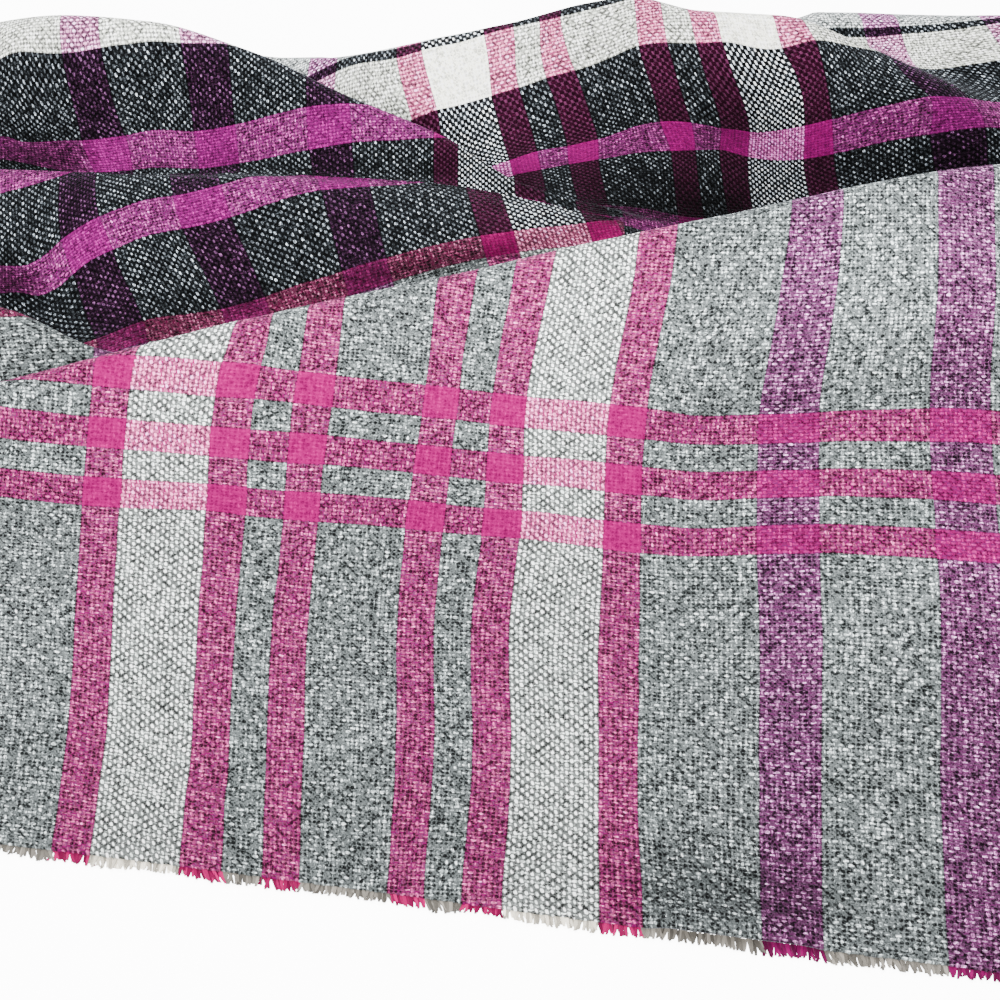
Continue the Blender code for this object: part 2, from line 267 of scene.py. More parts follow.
# The yarn ends along the cut end: how many for each yarn, and their sizes
ENDS_PER_YARN = 3
END_LENGTH = 4.8
END_RADIUS = 0.62
END_THICKNESS = 0.4
END_FLOOR = 0.5
END_STEPS = 5
ROOT_DEPTH = 1.2
ROOT_HEIGHTS = (0.7, 1.9)
TIP_TAPER = 0.35
TIP_DROP = 0.5
# How uneven the ends are, as shares of their length: on their own and in clumps
ENDS_SEED = 11
END_LEAST = 0.75
END_UNEVEN = 0.3
END_SWAY = 0.22
END_BEND = 0.3
CLUMP_SEED = 8
CLUMP_YARNS = 7
CLUMP_SWAY = 0.35

# Where the crossings of known yarns lie on the cloth: x, y, u, v for the flap. On the waves the
# last number counts the yarns from the deep pink band, and the count jumps at a hidden pleat
FLAP_MARKS = (
    (-167, -398, -60, 1), (-120, -405, -34, 1), (-89, -411, -18, 1), (-42, -418, 10, 1),
    (2, -422, 34, 1), (51, -428, 60, 1), (94, -436, 84, 1), (160, -446, 118, 1),
    (-173, -248, -60, 95), (-121, -251, -34, 95), (-89, -255, -18, 95), (-39, -261, 10, 95),
    (7, -265, 34, 95), (57, -272, 60, 95), (104, -275, 84, 95), (176, -282, 118, 95),
    (-170, -186, -60, 135), (-119, -190, -34, 135), (-86, -194, -18, 135), (-32, -200, 10, 135),
    (13, -205, 34, 135), (62, -211, 60, 135), (109, -213, 84, 135), (181, -213, 118, 135),
    (-114, -175, -34, 144), (-83, -170, -18, 152), (-27, -158, 10, 164), (24, -147, 34, 175),
    (76, -134, 60, 184), (127, -121, 84, 190), (194, -101, 118, 198),
    (-463, -355, -222, 0), (-478, -269, -222, 52), (348, -476, 222, 0), (397, -58, 222, 242),
)
WAVE_MARKS = {
    "first_wave": (
        (-181, -138, -164, 8), (-128, -117, -130, 8), (-75, -94, -96, 8), (-10, -69, -60, 8),
        (40, -54, -34, 8), (-193, -106, -164, 32), (-146, -84, -130, 32), (-86, -54, -96, 32),
        (-192, -87, -158, 44), (-151, -69, -130, 44), (-203, -95, -166, 44),
        (-211, -103, -173, 43), (-221, -106, -179, 43), (-229, -104, -184, 44),
        (-201, -113, -169, 32), (-212, -118, -176, 32), (-221, -116, -180, 32),
        (-206, -65, -165, 68), (-223, -72, -177, 68), (-231, -65, -182, 74),
        (-285, -118, -222, 20), (-285, -58, -222, 78), (-240, -151, -194, 3),
        (-219, -152, -182, 3),
    ),
    "second_wave": (
        (-191, -52, -164, 68), (-141, -44, -130, 68), (-91, -26, -96, 68), (-33, -14, -60, 68),
        (-197, -39, -164, 80), (-144, -31, -130, 80), (-93, -12, -96, 80), (-206, -15, -165, 104),
        (-185, -12, -151, 104), (-150, -6, -130, 104), (-234, -15, -184, 104),
        (-229, 0, -180, 114), (-209, -39, -172, 80), (-228, -38, -184, 80), (-228, -44, -184, 69),
        (-237, -41, -190, 69), (48, -40, -12, 48), (0, -36, -38, 45), (-285, -44, -222, 66),
        (-285, -10, -222, 107),
    ),
    "third_wave": (
        (7, -13, -34, 68), (35, -8, -18, 68), (50, -6, -10, 68), (86, -5, 10, 68),
        (110, -5, 26, 68), (124, -10, 34, 68), (151, -10, 52, 68), (214, 3, 84, 68),
        (242, 6, 96, 68), (5, -6, -34, 80), (34, 1, -18, 80), (50, 3, -10, 80), (81, 8, 10, 80),
        (111, 4, 26, 80), (125, 2, 34, 80), (152, 5, 52, 80), (215, 18, 84, 80),
        (-45, 23, -60, 104), (-32, 26, -52, 104), (-4, 30, -34, 104), (24, 32, -18, 104),
        (39, 32, -10, 104), (70, 38, 10, 104), (98, 37, 26, 104), (111, 37, 34, 104),
        (141, 35, 52, 104), (158, 39, 60, 104), (223, 41, 102, 104), (-93, 55, -90, 120),
        (-53, 57, -60, 120), (-40, 58, -52, 120), (-8, 58, -34, 120), (20, 57, -18, 120),
        (30, 56, -10, 120), (67, 59, 10, 120), (187, 57, 84, 120), (250, 61, 118, 120),
        (93, -43, 14, 44), (-190, 67, -170, 168), (-285, 76, -222, 172), (425, 40, 222, 90),
        (425, -36, 222, 40), (-190, 46, -166, 156), (-285, 103, -222, 190), (425, 112, 222, 140),
        (68, 118, 12, 169), (255, 108, 122, 159),
    ),
}


def smooth_curve(xs, ys, at):
    """Heights at `at` of a smooth curve through the points that doesn't overshoot them."""
    xs, ys = np.asarray(xs, float), np.asarray(ys, float)
    at = np.clip(at, xs[0], xs[-1])
    widths = np.diff(xs)
    steps = np.diff(ys) / widths
    before, after = steps[:-1], steps[1:]
    same_way = before * after > 0
    total = np.where(same_way, before + after, 1.0)
    inner = np.where(same_way, 2 * before * after / total, 0.0)
    tangents = np.concatenate((steps[:1], inner, steps[-1:]))
    k = np.clip(np.searchsorted(xs, at) - 1, 0, len(xs) - 2)
    t = (at - xs[k]) / widths[k]
    rise = ys[k + 1] - ys[k]
    lead, trail = tangents[k] * widths[k], tangents[k + 1] * widths[k]
    return ys[k] + t * (lead + t * (3 * rise - 2 * lead - trail + t * (lead + trail - 2 * rise)))


def table_at(rows, key):
    """Every later column of a table, read smoothly at values of its first column."""
    columns = list(zip(*rows))
    return [smooth_curve(columns[0], column, key) for column in columns[1:]]


def mix(a, b, t):
    return a + (b - a) * t


def ease(t):
    t = np.clip(t, 0.0, 1.0)
    return t * t * (3 - 2 * t)


def value_noise(x, y, period, seed):
    """Smooth noise from -1 to 1 over a plane, with a random value at each whole place."""
    grid = np.random.default_rng(seed).uniform(-1.0, 1.0, (NOISE_GRID, NOISE_GRID))
    i, j = np.floor(x / period).astype(int), np.floor(y / period).astype(int)
    across, along = ease(x / period - i), ease(y / period - j)
    here, beyond = i % NOISE_GRID, (i + 1) % NOISE_GRID
    rows = [
        mix(grid[here, k % NOISE_GRID], grid[beyond, k % NOISE_GRID], across) for k in (j, j + 1)
    ]
    return mix(rows[0], rows[1], along)


def strokes(x, y, rows):
    """The sum of soft strokes over a plane, each from one end to the other of its row."""
    total = 0.0 * x
    for start_x, start_y, end_x, end_y, width, strength in rows:
        run_x, run_y = end_x - start_x, end_y - start_y
        way = ((x - start_x) * run_x + (y - start_y) * run_y) / (run_x ** 2 + run_y ** 2)
        way = np.clip(way, 0.0, 1.0)
        away = (x - start_x - way * run_x) ** 2 + (y - start_y - way * run_y) ** 2
        total += strength * np.exp(-away / width ** 2)
    return total


def wander(x, y, noises, seed):
    """The sum of some noises, each with its period and its reach."""
    return sum(value_noise(x, y, period, seed) * reach for period, reach in noises)


def crease(x, y, z, creases):
    """A surface's height with its soft creases and its unevenness, never below the cloth's own."""
    new = z + wander(x, y, SURFACE_WANDER, SURFACE_SEED) + strokes(x, y, creases)
    return np.maximum(new, np.minimum(z, CLOTH_TOP))


def sunk(height, x):
    """A height of the waves at x, where they sink towards the two selvedges."""
    left = ease((x - LEFT_EDGE) / (LEFT_SHOULDER - LEFT_EDGE))
    right = ease((RIGHT_EDGE - x) / (RIGHT_EDGE - RIGHT_SHOULDER))
    share = mix(EDGE_SHARE, 1.0, np.minimum(left, right))
    return mix(np.minimum(height, FLAT_LAYERS), height, share)


def wave_surface(columns, rows_per_line):
    """The waves' top as arrays of x, y and z, one row of each array for each column of cloth."""
    across = np.linspace(LEFT_EDGE, RIGHT_EDGE, columns + 1)
    lines = [table_at(WAVE_LINES[name], across) for name in LINE_NAMES]
    ys = np.array([line[0] for line in lines])
    zs = sunk(np.array([line[1] for line in lines]), across)
    line_numbers = np.arange(len(LINE_NAMES))
    count = (len(LINE_NAMES) - 1) * rows_per_line
    step = np.arange(count + 1) / rows_per_line
    x = np.repeat(across[:, None], count + 1, axis=1)
    y = np.array([np.interp(step, line_numbers, column) for column in ys.T])
    z = np.array([smooth_curve(*column) for column in zip(ys.T, zs.T, y)])
    return x, y, crease(x, y, z, WAVE_CREASES)


def foot_height(x):
    """How low the fold's rear comes at x."""
    top = sunk(table_at(WAVE_LINES["front_foot"], x)[1], x)
    return np.where(x < LEFT_EDGE, FLOOR_CLEARANCE, top - CLOTH_TOP + REAR_CLEARANCE)


def flap_surface(columns, rise_rows, fold_rows, rear_rows):
    """The flap's top as arrays of x, y and z, from the cut end over the fold and down its rear."""
    across = np.linspace(-HALF_CUT, HALF_CUT, columns + 1)
    end_x, end_y, fold_x, fold_y, fold_z, power = (
        column[:, None] for column in table_at(FLAP_SECTIONS, across)
    )
    rows = np.arange(rise_rows + fold_rows + rear_rows + 1)
    length = fold_y - end_y
    start = np.arctan(power * (fold_z - CLOTH_TOP) / length)
    rise_length = length - FOLD_RADIUS * np.sin(start)
    rise = fold_z - FOLD_RADIUS * (1 - np.cos(start)) - CLOTH_TOP
    t = np.clip(rows / rise_rows, 0, 1)
    turn = np.clip((rows - rise_rows) / fold_rows, 0, 1)
    down = np.clip((rows - rise_rows - fold_rows) / rear_rows, 0, 1)
    angle = mix(start, math.radians(FOLD_END_DEGREES), turn)
    climbing = rows <= rise_rows
    forward = np.where(climbing, rise_length * t, length - FOLD_RADIUS * np.sin(angle))
    climb = CLOTH_TOP + rise * t ** power
    height = np.where(climbing, climb, fold_z - FOLD_RADIUS * (1 - np.cos(angle)))
    height = mix(height, foot_height(fold_x), down)
    x, y = mix(end_x, fold_x, forward / length), end_y + forward
    return x, y, crease(x, y, height, FLAP_CREASES)


def arc_lengths(*surface):
    """Length along the cloth from its front edge to each point of every column."""
    run = np.sqrt(sum(np.diff(axis, axis=1) ** 2 for axis in surface))
    return np.concatenate((np.zeros((len(run), 1)), np.cumsum(run, axis=1)), axis=1)


def bend_kernel(a, b):
    """The thin-plate kernel between two sets of places."""
    square = ((a[:, None, :] - b[None, :, :]) ** 2).sum(axis=2)
    return square * np.log(square + TINY)


def place_marks(marks, x, y, s, cells):
    """Where the marks lie on the flattened cloth: across it, and along it from its front edge."""
    picked = np.flatnonzero(cells)
    near = np.stack((x.ravel()[picked], y.ravel()[picked]), axis=1)
    places = []
    for mark in marks:
        k = picked[((near - mark[:2]) ** 2).sum(axis=1).argmin()]
        column, row = divmod(k, x.shape[1])
        other = row + 1 if row + 1 < x.shape[1] else row - 1
        rate = (s[column, other] - s[column, row]) / (y[column, other] - y[column, row])
        rate = min(abs(rate), STEEPEST)
        places.append((mark[0], s[column, row] + rate * (mark[1] - y[column, row])))
    return np.array(places) / PLATE_UNIT


def count_yarns(marks, x, y, z, cells=True):
    """The yarn counts u and v all over a surface, smooth and nearly exact at its marks."""
    s = arc_lengths(x, y, z)
    marks = np.array(marks, float)
    places = place_marks(marks, x, y, s, np.broadcast_to(cells, x.shape))
    count = len(marks)
    flat_part = np.concatenate((np.ones((count, 1)), places), axis=1)
    system = np.zeros((count + 3, count + 3))
    system[:count, :count] = bend_kernel(places, places) + np.eye(count) * PLATE_EASE
    system[:count, count:] = flat_part
    system[count:, :count] = flat_part.T
    known = np.concatenate((marks[:, 2:], np.zeros((3, 2))))
    weights = np.linalg.solve(system, known)
    at = np.stack((x.ravel(), s.ravel()), axis=1) / PLATE_UNIT
    result = bend_kernel(at, places) @ weights[:count]
    result += np.concatenate((np.ones((len(at), 1)), at), axis=1) @ weights[count:]
    u, v = result[:, 0].reshape(x.shape), result[:, 1].reshape(x.shape)
    across = wander(u, v, YARN_WANDER, ACROSS_SEED)
    return u + across, v + wander(u, v, YARN_WANDER, ALONG_SEED)


def finished_mesh(name, shape):
    """A bmesh's mesh. The bmesh is freed."""
    mesh = bpy.data.meshes.new(name)
    shape.to_mesh(mesh)
    shape.free()
    return mesh


def cloth_mesh(name, x, y, z, counts_for_cell, painted_shading_strokes):
    """A sheet on a surface, with a UV map that counts its yarns and an attribute of painted light
    and shade.
    """
    columns, rows = x.shape[0] - 1, x.shape[1] - 1
    sheet = bmesh.new()
    bmesh.ops.create_grid(sheet, x_segments=columns, y_segments=rows, size=0.5)
    yarns = sheet.loops.layers.uv.new("yarns")
    painted_shading = sheet.verts.layers.float.new("painted_shading")
    # Painted light and shade from the strokes, never darker than the least they leave
    shade = np.maximum(1.0 + strokes(x, y, painted_shading_strokes), DARKEST_PAINTED_SHADE)
    places = {}
    for v in sheet.verts:
        i, j = round((v.co.x + 0.5) * columns), round((v.co.y + 0.5) * rows)
        places[v] = i, j
        v.co = Vector((x[i, j] + ORIGIN_X, y[i, j] + ORIGIN_Y, z[i, j])) * MM
        v[painted_shading] = shade[i, j]
    for face in sheet.faces:
        corners = [places[loop.vert] for loop in face.loops]
        u, v = counts_for_cell(min(c[0] for c in corners), min(c[1] for c in corners))
        for loop, corner in zip(face.loops, corners):
            loop[yarns].uv = u[corner], v[corner]
    mesh = finished_mesh(name, sheet)
    mesh.shade_smooth()
    return mesh


def side_direction(v, centre):
    """Level direction out of a block at a point of its rim."""
    ends = [edge.other_vert(v).co for edge in v.link_edges if edge.is_boundary]
    along = ends[1] - ends[0]
    outward = Vector((along.y, -along.x, 0)).normalized()
    return outward if outward.dot(v.co - centre) >= 0 else -outward


def layers_top(y, z):
    """Height of the folded layers' top, clear below the cloth that covers them."""
    rise, run = np.gradient(z, axis=1), np.gradient(y, axis=1)
    slope = rise / np.where(run == 0, TINY, run)
    return np.maximum(z - LAYER_DROP * np.sqrt(1 + slope ** 2), LEAST_TOP * z)


def add_stack(frame, surface, kept_columns, kept_rows, seed):
    """Adds a stack of folded layers below part of a surface, rounded at its sides."""
    x, y, z = surface
    parts = (x, y, layers_top(y, z))
    x, y, z = (values[kept_columns][:, kept_rows] for values in parts)
    columns, rows = x.shape[0] - 1, x.shape[1] - 1
    grid = bmesh.ops.create_grid(frame, x_segments=columns, y_segments=rows, size=0.5)["verts"]
    for v in grid:
        i, j = round((v.co.x + 0.5) * columns), round((v.co.y + 0.5) * rows)
        v.co = Vector((x[i, j], y[i, j], z[i, j]))
    centre = sum((v.co for v in grid), Vector()) / len(grid)
    rim = [edge for edge in frame.edges if edge.is_boundary]
    tops = {v: (v.co.copy(), side_direction(v, centre)) for edge in rim for v in edge.verts}
    rings = LAYER_COUNT * RINGS_PER_LAYER
    for ring in range(1, rings + 1):
        made = bmesh.ops.extrude_edge_only(frame, edges=rim)["geom"]
        layer, step = divmod(ring, RINGS_PER_LAYER)
        bulge = math.sin(math.pi * step / RINGS_PER_LAYER) - 1.0
        lower = {}
        for v in (item for item in made if isinstance(item, bmesh.types.BMVert)):
            above = next(edge.other_vert(v) for edge in v.link_edges if edge.other_vert(v) in tops)
            top, outward = lower[v] = tops[above]
            place = top.x + STRAY_SHIFT * layer, top.y
            stray = float(value_noise(*place, STRAY_PERIOD, seed + layer)) * LAYER_STRAY
            shift = LAYER_GROOVE * bulge + stray * (step > 0) - LAYER_STRAY
            v.co = top + outward * shift
            v.co.z = top.z * (1 - ring / rings)
        tops = lower
        rim = [item for item in made if isinstance(item, bmesh.types.BMEdge) and item.is_boundary]
    bmesh.ops.contextual_create(frame, geom=rim)


def add_piece(name, mesh, material, slot, *nodes):
    """Links a finished mesh as a piece of the scarf that stands for some of its solids."""
    old = bpy.data.objects.get(name)
    if old:
        bpy.data.objects.remove(old, do_unlink=True)
    piece = bpy.data.objects.new(name, mesh)
    bpy.context.scene.collection.objects.link(piece)
    mesh.materials.clear()
    mesh.materials.append(bpy.data.materials[material])
    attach(piece, BODY)
    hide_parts(*nodes)
    return piece


def add_wall(piece, thickness):
    """Gives an open sheet its cloth thickness, downwards from its top."""
    solid = piece.modifiers.new("Cloth wall", "SOLIDIFY")
    solid.thickness = thickness
    solid.offset = -1.0


# The stripes by yarn count, from the cloth's middle out and from its cut front end on
WARP_STRIPES = (
    (0, "grey"), (10, "pink"), (18, "grey"), (26, "pink"), (34, "white"), (52, "pink"),
    (60, "grey"), (84, "purple"), (96, "grey"), (118, "purple"), (130, "grey"), (152, "purple"),
    (164, "grey"), (190, "lime"), (196, "grey"),
)
FRONT_BANDS = (
    (0, "pale"), (95, "pink"), (103, "pale"), (111, "pink"), (119, "pale"), (127, "pink"),
    (135, "pale"),
)
# The waves' count starts this many yarns before the deep pink band
BAND_START = 60
WAVE_BANDS = (
    (-60, "pale"), (0, "crimson"), (8, "charcoal"), (32, "magenta"), (44, "charcoal"),
    (68, "magenta"), (80, "charcoal"), (104, "cream"), (120, "charcoal"), (123, "milk"),
)
# Painted light along the cloth, paler further along as if more light fell there: on the flap
# towards the fold, on the waves towards their back. By yarn count, from where to where, and how
# much paler it makes the colour
FLAP_PAINTED_LIGHT = (60.0, 185.0, 1.45)
WAVE_PAINTED_LIGHT = (80.0, 120.0, 1.1)
TABLE_STEPS = 255

# A float of yarn in its cell, whose side is 1: its lean, its stray, its half sizes and its rim
FLOAT_SLANT = 0.25
FLOAT_STRAY = 0.2
FLOAT_SIDE = 0.3
FLOAT_END = 0.62
FLOAT_UNEVEN = 1.0
FLOAT_RIM = (1.4, 0.6)
# The gap between four floats, darkened as painted shade, and how much colour it keeps: any, strong
# and white
GAP_RIM = (0.56, 0.36)
GAP_UNEVEN = 0.42
GAP_SHADE = 0.1
GAP_COLOUR = 0.55
GAP_WHITE = 0.75
GAP_POWER = 12.0
# The heather: how many times the palest float outshines the darkest, and its fibres' noise
HEATHER = 19.0
STREAKS = 3.0
FIBRE_ALONG = 0.6
FIBRE_ACROSS = 1.7
FIBRE_NOISE = (1.5, 2.0, 0.8)
CALM_POWER = 6.0
CALM_COLOUR = 0.7
CALM_WHITE = 0.7
WHITEST = (0.95, 0.95, 0.95, 1)
# How neighbouring yarns change each other's colour
TINT_SHARE = 0.6
WHITE_TINT = 0.16
BLEND_SHARE = 0.7
BLEED = 0.04
LIGHT_SHARE = 0.34
COLOUR_KEPT = 0.85
VIVID_POWER = 3.0
VIVID_SHARE = 0.7
DUSK = (0.014, 0.0125, 0.02, 1)
DUSK_SHARE = 0.78
# Between these brightnesses a yarn turns black, or bright enough to be vivid
BLACK_YARN = (0.035, 0.014)
BRIGHT_YARN = (0.014, 0.05)

ROUGHNESS = 0.9
GLOSS = 0.03
SHEEN_ROUGHNESS = 0.3
RELIEF_STRENGTH = 0.6
# The shade of the loose ends, as powers of the heather: its spread and its start
ENDS_SPREAD = 0.6
ENDS_DIMMED = -0.4

FRAYED_COLOURS = ("grey", "white", "pink", "purple")


class NodeMaker:
    """Adds nodes to a tree and links them by their values."""

    def __init__(self, tree):
        self.tree = tree

    def put(self, socket, value):
        if isinstance(value, bpy.types.NodeSocket):
            self.tree.links.new(value, socket)
        elif value is not None:
            socket.default_value = value

    def node(self, kind, *values, **settings):
        """The outputs of a new node with its settings and the values of its first inputs."""
        node = self.tree.nodes.new("ShaderNode" + kind)
        for name, setting in settings.items():
            setattr(node, name, setting)
        for socket, value in zip(node.inputs, values):
            self.put(socket, value)
        return node.outputs

    def math(self, operation, *values):
        return self.node("Math", *values, operation=operation)[0]

    def plus(self, a, b):
        return self.math("ADD", a, b)

    def minus(self, a, b):
        return self.math("SUBTRACT", a, b)

    def times(self, a, b):
        return self.math("MULTIPLY", a, b)

    def power(self, a, b):
        return self.math("POWER", a, b)

    def line(self, value, slope, start):
        """A value times a slope, plus a start."""
        return self.math("MULTIPLY_ADD", value, slope, start)

    def centred(self, chance, width):
        """A chance from 0 to 1, spread over a width about zero."""
        return self.line(chance, width, -0.5 * width)

    def mix_value(self, factor, a, b):
        return self.node("Mix", factor, None, a, b, data_type="FLOAT")[0]

    def mix_colour(self, factor, a, b, blend="MIX"):
        values = factor, *[None] * 5, a, b
        return self.node("Mix", *values, data_type="RGBA", blend_type=blend)["Result"]

    def blend(self, kind, a, b):
        return self.mix_colour(1.0, a, b, kind)

    def dim(self, colour, factor):
        """A colour with all its parts times one factor."""
        return self.blend("MULTIPLY", colour, self.join(factor, factor, factor))

    def range(self, value, low, high, to_low=0.0, to_high=1.0):
        values = value, low, high, to_low, to_high
        return self.node("MapRange", *values, interpolation_type="SMOOTHSTEP")[0]

    def join(self, x, y, z=0.0):
        return self.node("CombineXYZ", x, y, z)[0]

    def parts(self, vector):
        return self.node("SeparateXYZ", vector)

    def chances(self, x, y):
        """Three random numbers, from 0 to 1, for each whole place."""
        noise = self.node("TexWhiteNoise", self.join(x, y), noise_dimensions="2D")
        return self.parts(noise["Color"])

    def hue_parts(self, colour):
        """A colour at full brightness, its saturation and its brightness."""
        hue, saturation, brightness = self.node("SeparateColor", colour, mode="HSV")
        full = self.node("CombineColor", hue, saturation, 1.0, mode="HSV")[0]
        return full, saturation, brightness


def tinted(maker, yarn, beside):
    """A yarn's colour, tinted by the fibres of the yarn beside it where that is the stronger."""
    hue, strength = maker.hue_parts(beside)[:2]
    own_strength, brightness = maker.hue_parts(yarn)[1:]
    share = maker.line(own_strength, -TINT_SHARE, TINT_SHARE)
    share = maker.line(brightness, WHITE_TINT, share)
    tint = maker.mix_colour(share, yarn, maker.blend("MULTIPLY", yarn, hue))
    bleed = maker.times(maker.times(strength, strength), BLEED)
    return maker.mix_colour(bleed, tint, beside)


def plain_weave_group():
    """Plain weave of two yarn colours: the yarn on top at each crossing, and its relief."""
    old = bpy.data.node_groups.get("plain weave")
    if old:
        bpy.data.node_groups.remove(old)
    tree = bpy.data.node_groups.new("plain weave", "ShaderNodeTree")
    for name, way, kind in (
        ("Yarns", "INPUT", "Vector"), ("Warp", "INPUT", "Color"), ("Weft", "INPUT", "Color"),
        ("Colour", "OUTPUT", "Color"), ("Height", "OUTPUT", "Float"),
    ):
        tree.interface.new_socket(name, in_out=way, socket_type="NodeSocket" + kind)
    given = tree.nodes.new("NodeGroupInput").outputs
    result = tree.nodes.new("NodeGroupOutput").inputs
    maker = NodeMaker(tree)
    plus, minus, times = maker.plus, maker.minus, maker.times
    power, line, colour_mix = maker.power, maker.line, maker.mix_colour

    u, v = maker.parts(given["Yarns"])[:2]
    i, j = maker.math("FLOOR", u), maker.math("FLOOR", v)
    warp_on_top = maker.math("PINGPONG", plus(i, j), 1.0)
    chance, shift, spread = maker.chances(i, j)

    # Where a place lies in its cell, from -0.5 to 0.5 both ways, with the floats a little aslant
    across, along = minus(minus(u, i), 0.5), minus(minus(v, j), 0.5)
    side = maker.mix_value(warp_on_top, along, line(along, FLOAT_SLANT, across))
    side = plus(side, maker.centred(shift, FLOAT_STRAY))
    end = maker.mix_value(warp_on_top, across, along)

    # A float is an oval, longer than its cell and narrower, of uneven size
    shares = [
        power(maker.math("DIVIDE", maker.math("ABSOLUTE", distance), reach), 2.0)
        for distance, reach in ((side, FLOAT_SIDE), (end, FLOAT_END))
    ]
    oval = plus(plus(*shares), maker.centred(spread, FLOAT_UNEVEN))
    top = maker.range(oval, *FLOAT_RIM)

    # Painted shade in the gap where four cells meet, of uneven size too
    near_u, near_v = maker.math("ROUND", u), maker.math("ROUND", v)
    to_u, to_v = minus(u, near_u), minus(v, near_v)
    corner = maker.math("SQRT", plus(power(to_u, 2.0), power(to_v, 2.0)))
    luck = maker.chances(near_v, near_u)[0]
    gap = maker.range(line(luck, GAP_UNEVEN, corner), *GAP_RIM)

    # Heather: every float has its own shade, and fibres streak along it
    stretch_u = maker.mix_value(warp_on_top, FIBRE_ALONG, FIBRE_ACROSS)
    stretch_v = maker.mix_value(warp_on_top, FIBRE_ACROSS, FIBRE_ALONG)
    stretched = maker.join(times(u, stretch_u), times(v, stretch_v))
    fibre = maker.node("TexNoise", stretched, None, *FIBRE_NOISE, noise_dimensions="2D")[0]
    streak = plus(line(fibre, STREAKS, -0.5 * STREAKS - 0.5), chance)

    # A plain warp looks paler beside a light weft
    warp = tinted(maker, given["Warp"], given["Weft"])
    weft = tinted(maker, given["Weft"], given["Warp"])
    brightness = maker.hue_parts(weft)[2]
    plainness = line(maker.hue_parts(warp)[1], -COLOUR_KEPT, 1.0)
    lightened = times(times(brightness, brightness), LIGHT_SHARE)
    warp = colour_mix(times(lightened, plainness), warp, weft)
    own = colour_mix(warp_on_top, weft, warp)
    own = colour_mix(BLEND_SHARE, own, colour_mix(0.5, warp, weft), "COLOR")
    other = colour_mix(warp_on_top, warp, weft)
    strength, light = maker.hue_parts(own)[1:]
    other_strength, other_light = maker.hue_parts(other)[1:]

    # Over a nearly black yarn a strong colour looks dusky
    dusk = times(maker.range(other_light, *BLACK_YARN), times(strength, DUSK_SHARE))
    own = colour_mix(dusk, own, DUSK)

    # Two strong colours, neither of them dark, take the brightness of the brighter
    vivid = power(times(strength, other_strength), VIVID_POWER)
    darker = maker.math("MINIMUM", light, other_light)
    vivid = times(vivid, maker.range(darker, *BRIGHT_YARN))
    brighter = maker.blend("LIGHTEN", own, other)
    own = colour_mix(times(vivid, VIVID_SHARE), own, brighter)
    below = maker.blend("DARKEN", own, other)

    # The heather is calmer on strong colours and on white
    calm = line(power(strength, CALM_POWER), -CALM_COLOUR, 1.0)
    calm = line(light, -CALM_WHITE, calm)
    own = maker.dim(own, power(HEATHER, times(streak, calm)))
    own = maker.blend("DARKEN", own, WHITEST)

    # The gap's painted shade is dark among greys, and paler among strong colours and whites
    depth = line(power(strength, GAP_POWER), GAP_COLOUR, GAP_SHADE)
    both = power(times(light, other_light), 2.0)
    deep = maker.dim(own, line(both, GAP_WHITE, depth))
    colour = colour_mix(top, below, own)
    maker.put(result["Colour"], colour_mix(gap, colour, deep))
    height = minus(times(top, 0.5), times(gap, 0.5))
    maker.put(result["Height"], height)


class WoolMaker(NodeMaker):
    """Makes a material of brushed wool, with its yarn counts and the stripes of its warp."""

    def __init__(self, name, settings, frayed=()):
        material = bpy.data.materials.get(name) or bpy.data.materials.new(name)
        material.use_nodes = True
        super().__init__(material.node_tree)
        self.tree.nodes.clear()
        self.settings, self.frayed = settings, frayed
        self.yarns = self.node("UVMap", uv_map="yarns")[0]
        self.u, self.v = self.parts(self.yarns)[:2]
        yarn = self.math("ABSOLUTE", self.plus(self.math("FLOOR", self.u), 0.5))
        self.warp = self.stripes(yarn, WARP_STRIPES)
        shader = self.tree.nodes.new("ShaderNodeBsdfPrincipled")
        self.inputs = shader.inputs
        self.inputs["Roughness"].default_value = ROUGHNESS
        self.inputs["Specular IOR Level"].default_value = GLOSS
        self.inputs["Sheen Weight"].default_value = settings.sheen
        self.node("OutputMaterial", shader.outputs[0])

    def stripes(self, value, stripes, start=0):
        """Colours by yarn count, exact to the yarn: a constant ramp with a step for each yarn."""
        node = self.tree.nodes.new("ShaderNodeValToRGB")
        ramp = node.color_ramp
        ramp.interpolation = "CONSTANT"
        while len(ramp.elements) > 1:
            ramp.elements.remove(ramp.elements[-1])
        for k, (count, name) in enumerate(stripes):
            place = max((count - start - 0.5) / TABLE_STEPS, 0.0)
            element = ramp.elements[0] if k == 0 else ramp.elements.new(place)
            element.position = place
            key = "frayed_" + name if name in self.frayed else name
            element.color = (*getattr(self.settings, key), 1.0)
        index = self.plus(self.math("FLOOR", value), 0.25 - start)
        self.put(node.inputs[0], self.math("DIVIDE", index, TABLE_STEPS))
        return node.outputs[0]


def cloth_material(name, bands, start, painted_shading, settings):
    """The plaid on one stretch of cloth, its weave in relief, with a brushed woollen sheen."""
    maker = WoolMaker(name, settings)
    weft = maker.stripes(maker.v, bands, start)
    weave = bpy.data.node_groups["plain weave"]
    colour, height = maker.node("Group", maker.yarns, maker.warp, weft, node_tree=weave)
    bump = maker.node("Bump", RELIEF_STRENGTH, settings.relief, None, height)[0]
    # Painted light and shade from the strokes, read from the mesh's attribute
    painted_stroke_shading = maker.node("Attribute", attribute_name="painted_shading")["Fac"]
    # Painted light: the colour grows paler further along the cloth
    thickness = maker.range(maker.v, painted_shading[0], painted_shading[1], 1.0, painted_shading[2])
    glow = maker.times(thickness, painted_stroke_shading)
    maker.inputs["Sheen Roughness"].default_value = SHEEN_ROUGHNESS
    maker.inputs["Sheen Tint"].default_value = (*settings.sheen_tint, 1.0)
    maker.put(maker.inputs["Base Color"], maker.dim(colour, glow))
    maker.put(maker.inputs["Normal"], bump)


